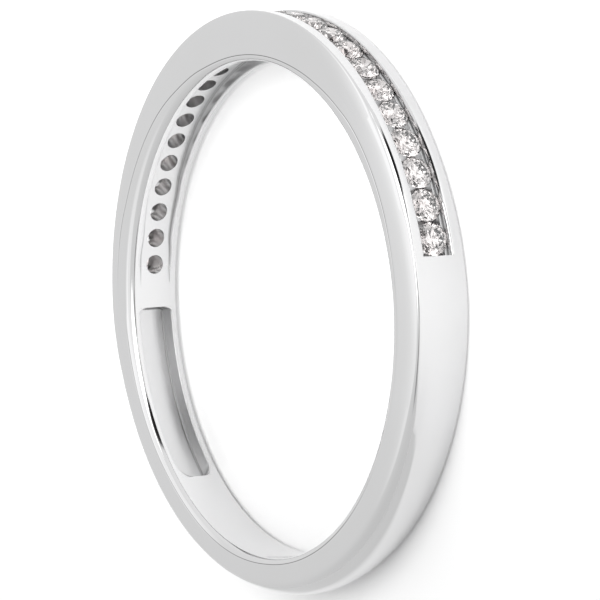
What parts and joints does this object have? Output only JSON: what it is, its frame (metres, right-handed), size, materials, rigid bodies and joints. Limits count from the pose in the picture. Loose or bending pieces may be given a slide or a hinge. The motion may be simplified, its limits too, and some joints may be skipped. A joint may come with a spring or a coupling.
{
  "type": "channel set band",
  "caption": "Slim polished white metal finger ring whose front half holds one row of small round brilliants in a channel, open behind the stones.",
  "frame": {"origin": "middle of the finger hole, at half the band's width", "axes": "+Z along the axis of the finger hole, +Y from the middle of the hole to the middle of the head with its row of stones, +X towards the first stone's side"},
  "size_m": [0.0204, 0.0204, 0.002],
  "materials": {
    "white_metal": "polished white gold with rhodium plating",
    "brilliant": "clear faceted colourless stone"
  },
  "bodies": {
    "root": {"band": "white_metal", "stone_01": "brilliant", "stone_02": "brilliant", "stone_03": "brilliant", "stone_04": "brilliant", "stone_05": "brilliant", "stone_06": "brilliant", "stone_07": "brilliant", "stone_08": "brilliant", "stone_09": "brilliant", "stone_10": "brilliant", "stone_11": "brilliant", "stone_12": "brilliant", "stone_13": "brilliant", "stone_14": "brilliant", "stone_15": "brilliant", "stone_16": "brilliant", "stone_17": "brilliant", "stone_18": "brilliant", "stone_19": "brilliant", "stone_20": "brilliant", "stone_21": "brilliant", "stone_22": "brilliant", "stone_23": "brilliant", "stone_24": "brilliant", "stone_25": "brilliant"}
  },
  "joints": []
}
